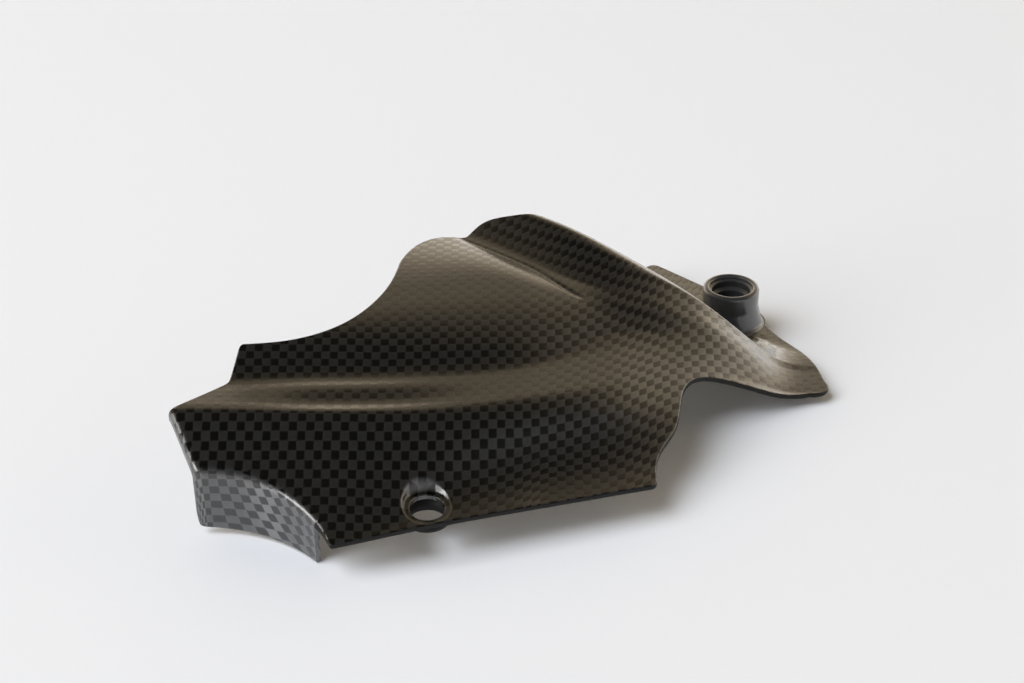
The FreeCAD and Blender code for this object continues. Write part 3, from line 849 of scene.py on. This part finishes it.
def laminateMaterial(name):
    material = bpy.data.materials.new(name)
    material.use_nodes = True
    tree = material.node_tree
    tree.nodes.clear()

    def maths(operation, a, b=0.0, c=0.0):
        return addNode(tree, "ShaderNodeMath", {0: a, 1: b, 2: c}, operation=operation).outputs[0]

    uv = addNode(tree, "ShaderNodeUVMap", uv_map="cloth")
    perTow = math.pi / (laminate["tow"] * mm)
    scaled = addNode(tree, "ShaderNodeVectorMath", {0: uv.outputs[0], 1: [perTow] * 3},
                     operation="MULTIPLY")
    split = addNode(tree, "ShaderNodeSeparateXYZ", {0: scaled.outputs[0]})
    waves = [maths("SINE", split.outputs[k]) for k in (0, 1)]
    steep = [maths("MULTIPLY", wave, laminate["steepness"]) for wave in waves]
    steep = [maths("MAXIMUM", maths("MINIMUM", wave, 1.0), -1.0) for wave in steep]
    checker = maths("MULTIPLY", *steep)
    weft = addNode(tree, "ShaderNodeMapRange", {0: checker, 1: -laminate["crossShare"] - laminate["blur"],
                                                2: -laminate["crossShare"] + laminate["blur"]})
    crown = maths("ABSOLUTE", maths("MULTIPLY", *waves))
    bump = addNode(tree, "ShaderNodeBump", {
        "Height": maths("MULTIPLY", crown, laminate["crown"] * mm), "Distance": 1.0, "Strength": 1.0})
    tangent = addNode(tree, "ShaderNodeTangent", direction_type="UV_MAP", uv_map="cloth")

    def fibres(tows, turn):
        return addNode(tree, "ShaderNodeBsdfPrincipled", {
            "Base Color": linearColour(laminate[tows]), "Metallic": 1.0,
            "Roughness": laminate[tows + "Roughness"], "Anisotropic": laminate["fibreStretch"],
            "Anisotropic Rotation": turn, "Tangent": tangent.outputs[0],
            "Normal": bump.outputs[0], "Coat Weight": 1.0, "Coat Roughness": laminate["coatRoughness"],
            "Coat IOR": 1.5}).outputs[0]

    both = addNode(tree, "ShaderNodeMixShader", {
        0: weft.outputs[0], 1: fibres("warp", 0.0), 2: fibres("weft", 0.25)})
    addNode(tree, "ShaderNodeOutputMaterial", {"Surface": both.outputs[0]})
    return material


coverMesh.materials.append(laminateMaterial("clearCoatedCarbonCloth"))

# Cut edges and screw sleeve: bare plies with no coat, so dull and nearly black. On the sleeve the
# near-black is partly painted shade: it keeps the inside of the front bore dark, as shade would.
edgeAndBoreShade = {"plyAndShade": "#161514", "roughness": 0.55, "shine": 0.3}


def edgeAndBoreShadeMaterial():
    material = bpy.data.materials.new("sawnEdgeAndPaintedBoreShade")
    material.use_nodes = True
    tree = material.node_tree
    tree.nodes.clear()
    shader = addNode(tree, "ShaderNodeBsdfPrincipled", {
        "Base Color": linearColour(edgeAndBoreShade["plyAndShade"]), "Roughness": edgeAndBoreShade["roughness"],
        "Specular IOR Level": edgeAndBoreShade["shine"]})
    addNode(tree, "ShaderNodeOutputMaterial", {"Surface": shader.outputs[0]})
    return material


darkEdgeAndBoreShade = edgeAndBoreShadeMaterial()
coverMesh.materials.append(darkEdgeAndBoreShade)
for i in cutFaces:
    coverMesh.polygons[i].material_index = 1

# Moulded boss: resin filled with chopped fibre, so dark and without a weave, and coated like the rest
bossResin = {"base": "#4a4a4a", "light": "#686868", "grit": 0.5, "gritHeight": 0.03, "roughness": 0.34,
             "fibreShine": 0.7, "coatRoughness": 0.1}


def resinMaterial():
    material = bpy.data.materials.new("mouldedCarbonResin")
    material.use_nodes = True
    tree = material.node_tree
    tree.nodes.clear()
    place = addNode(tree, "ShaderNodeTexCoord")
    grit = addNode(tree, "ShaderNodeTexNoise", {"Vector": place.outputs["Object"],
                                                "Scale": 1 / (bossResin["grit"] * mm), "Detail": 3.0})
    tone = addNode(tree, "ShaderNodeMix", {0: grit.outputs[0], 6: linearColour(bossResin["base"]),
                                           7: linearColour(bossResin["light"])}, data_type="RGBA")
    bump = addNode(tree, "ShaderNodeBump", {
        "Height": grit.outputs[0], "Distance": bossResin["gritHeight"] * mm})
    shader = addNode(tree, "ShaderNodeBsdfPrincipled", {
        "Base Color": tone.outputs[2], "Metallic": bossResin["fibreShine"],
        "Roughness": bossResin["roughness"], "IOR": 1.5, "Normal": bump.outputs[0], "Coat Weight": 1.0,
        "Coat Roughness": bossResin["coatRoughness"], "Coat IOR": 1.5})
    addNode(tree, "ShaderNodeOutputMaterial", {"Surface": shader.outputs[0]})
    return material


screwBoss = turnedPiece("screwBoss", boss, resinMaterial())
# the sleeve's near-black matte is partly painted shade inside the front bore
frontSleeve = turnedPiece("frontSleeve", sleeve, darkEdgeAndBoreShade)
for piece in (cover, screwBoss, frontSleeve):
    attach(piece, "root")
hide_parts("cover")

# Studio: a pale bench with a big window high on the left, in a room that is bright and warm low down
# behind the bench and dark overhead. Each stop is an elevation in degrees, a level and a tint.
studio = {
    "bench": "#f2f3f5",
    "benchSize": 6.0,
    "benchGrain": 900.0,
    "facing": (-0.35, 0.25),
    "window": {"place": (-2.6, -1.1, 3.6), "size": 3.4, "power": 198.0, "tint": "#f2f7ff"},
    "pane": {"towards": (-0.82, -0.46, 0.33), "spread": 15.0, "level": 8.0},
    "behind": [(0, 1.9, "#fffaf2"), (8, 1.6, "#fff5e6"), (14, 1.38, "#fff0d8"), (20, 1.15, "#ffecce"),
               (30, 0.55, "#ffe8c4"), (35, 0.40, "#ffe8c2"), (42, 0.52, "#ffe8c2"), (50, 0.28, "#ffe8c4"),
               (60, 0.09, "#ffecd0"), (70, 0.04, "#fff6e8"), (90, 0.038, "#fbfffb")],
    "inFront": [(0, 0.55, "#ffffff"), (25, 0.16, "#ffffff"), (40, 0.06, "#fbfdff"), (55, 0.03, "#fbfdff"),
                (72, 0.028, "#fbfdff"), (90, 0.038, "#fbfffb")],
}


def benchFloor():
    half = studio["benchSize"] / 2
    mesh = bpy.data.meshes.new("bench")
    corners = [(-half, -half, 0), (half, -half, 0), (half, half, 0), (-half, half, 0)]
    mesh.from_pydata(corners, [], [(0, 1, 2, 3)])
    floor = bpy.data.objects.new("bench", mesh)
    bpy.context.scene.collection.objects.link(floor)
    material = bpy.data.materials.new("matteWhitePaper")
    material.use_nodes = True
    tree = material.node_tree
    tree.nodes.clear()
    place = addNode(tree, "ShaderNodeTexCoord")
    fibre = addNode(tree, "ShaderNodeTexNoise", {
        "Vector": place.outputs["Object"], "Scale": studio["benchGrain"], "Detail": 2.0})
    bump = addNode(tree, "ShaderNodeBump", {"Height": fibre.outputs[0], "Distance": 0.00002})
    shader = addNode(tree, "ShaderNodeBsdfPrincipled", {
        "Base Color": linearColour(studio["bench"]), "Roughness": 0.75, "Normal": bump.outputs[0]})
    addNode(tree, "ShaderNodeOutputMaterial", {"Surface": shader.outputs[0]})
    mesh.materials.append(material)


def surround():
    world = bpy.data.worlds.new("studioRoom")
    bpy.context.scene.world = world
    world.use_nodes = True
    tree = world.node_tree
    tree.nodes.clear()
    place = addNode(tree, "ShaderNodeTexCoord")
    split = addNode(tree, "ShaderNodeSeparateXYZ", {0: place.outputs["Generated"]})
    brightest = max(level for _, level, _ in studio["behind"])

    def band(stops):
        node = addNode(tree, "ShaderNodeValToRGB", {0: split.outputs[2]})
        elements = node.color_ramp.elements
        while len(elements) < len(stops):
            elements.new(0.5)
        for element, (elevation, level, tint) in zip(elements, stops):
            element.position = math.sin(math.radians(elevation))
            element.color = [level / brightest * c for c in linearColour(tint)[:3]] + [1.0]
        return node.outputs[0]

    front, back = studio["facing"]
    facing = addNode(tree, "ShaderNodeMapRange", {0: split.outputs[1], 1: front, 2: back, 3: 0.0, 4: 1.0},
                     interpolation_type="SMOOTHSTEP")
    room = addNode(tree, "ShaderNodeMix", {
        0: facing.outputs[0], 6: band(studio["inFront"]), 7: band(studio["behind"])}, data_type="RGBA")
    light = addNode(tree, "ShaderNodeBackground", {"Color": room.outputs[2], "Strength": brightest})
    pane = studio["pane"]
    middle = np.array(pane["towards"]) / np.linalg.norm(pane["towards"])
    towards = addNode(tree, "ShaderNodeVectorMath", {0: place.outputs["Generated"], 1: list(middle)},
                      operation="DOT_PRODUCT")
    edge = math.cos(math.radians(pane["spread"]))
    shape = addNode(tree, "ShaderNodeMapRange", {
        0: towards.outputs["Value"], 1: edge, 2: (1 + edge) / 2, 3: 0.0, 4: pane["level"]},
        interpolation_type="SMOOTHSTEP")
    bright = addNode(tree, "ShaderNodeBackground", {"Strength": shape.outputs[0]})
    whole = addNode(tree, "ShaderNodeAddShader", {0: light.outputs[0], 1: bright.outputs[0]})
    addNode(tree, "ShaderNodeOutputWorld", {"Surface": whole.outputs[0]})


def windowLight():
    spec = studio["window"]
    data = bpy.data.lights.new("window", "AREA")
    data.shape = "SQUARE"
    data.size = spec["size"]
    data.energy = spec["power"]
    data.color = linearColour(spec["tint"])[:3]
    lamp = bpy.data.objects.new("window", data)
    bpy.context.scene.collection.objects.link(lamp)
    lamp.location = spec["place"]
    lamp.visible_glossy = False  # the part mirrors the room and its one bright pane instead
    x, y, z = spec["place"]
    lamp.rotation_euler = (math.atan2(math.hypot(x, y), z), 0, math.atan2(-y, -x) - math.pi / 2)


benchFloor()
surround()
windowLight()

# Camera at the photograph's angle: 30 degrees down, from just over half a metre
view = {"place": (-58.5, -508.7, 290.8), "pitch": 60.0, "lens": 50.0, "sensor": 23.6}
cameraData = bpy.data.cameras.new("camera")
cameraData.lens, cameraData.sensor_width = view["lens"], view["sensor"]
cameraData.clip_start = 0.01
camera = bpy.data.objects.new("camera", cameraData)
bpy.context.scene.collection.objects.link(camera)
camera.location = [c * mm for c in view["place"]]
camera.rotation_euler = (math.radians(view["pitch"]), 0, 0)
bpy.context.scene.camera = camera
bpy.context.scene.view_settings.view_transform = "Standard"
